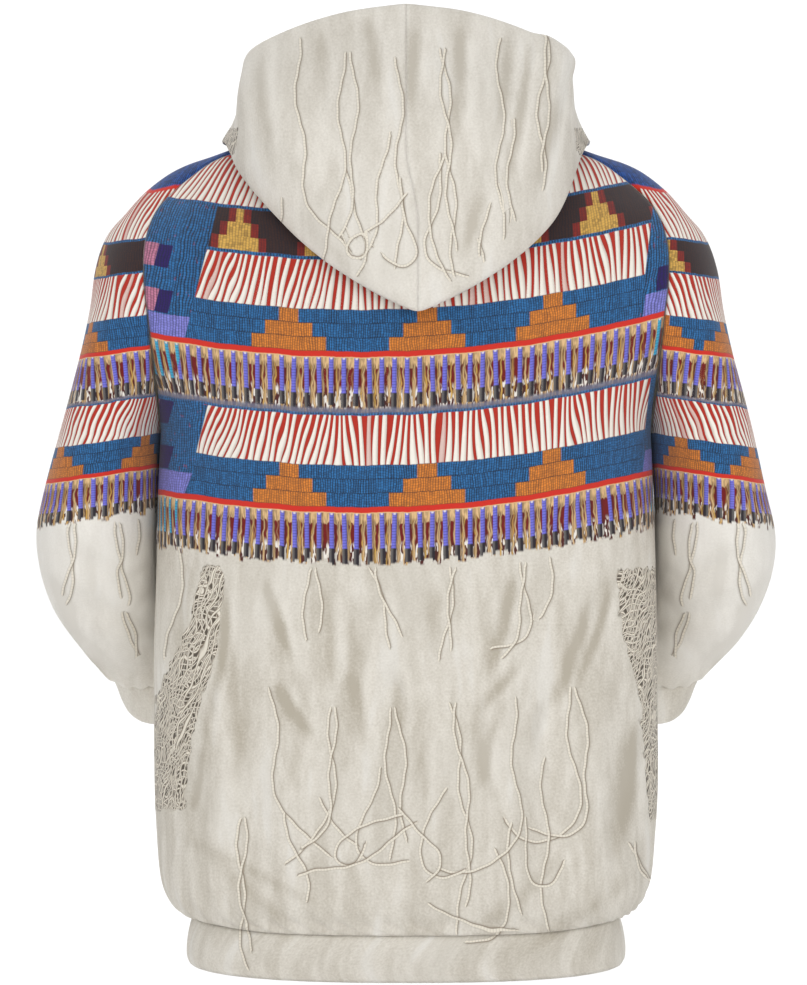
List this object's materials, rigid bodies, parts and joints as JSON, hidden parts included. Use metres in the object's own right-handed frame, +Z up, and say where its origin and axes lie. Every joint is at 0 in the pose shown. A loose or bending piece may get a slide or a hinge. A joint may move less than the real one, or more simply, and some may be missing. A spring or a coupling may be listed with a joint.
{
  "type": "pullover hoodie",
  "caption": "Knitted pullover hoodie in its worn form, hood down, saddle sleeves bent forward, banded hem and cuffs, printed all over with beadwork bands on cream hide.",
  "frame": {"origin": "middle of the neck base, level with the tops of the shoulders beside the neck, where the wearer holds it up", "axes": "+Z up from the hem to the hood, +Y out of the back, -Y out of the front, +X to the wearer's left"},
  "size_m": [0.64, 0.3843, 0.8056],
  "materials": {
    "body_cloth": "smooth knit, printed with blue, red and white beadwork bands over cream hide; this colour is their average",
    "band_cloth": "smooth knit, printed as cream hide",
    "hood_cloth": "smooth knit, printed as cream hide with pale thongs"
  },
  "bodies": {
    "root": {"back_panel": "body_cloth", "front_panel": "body_cloth", "sleeve_left": "body_cloth", "sleeve_right": "body_cloth", "cuff_left": "band_cloth", "cuff_right": "band_cloth", "hem_band": "band_cloth", "hood_left": "hood_cloth", "hood_right": "hood_cloth"}
  },
  "joints": []
}
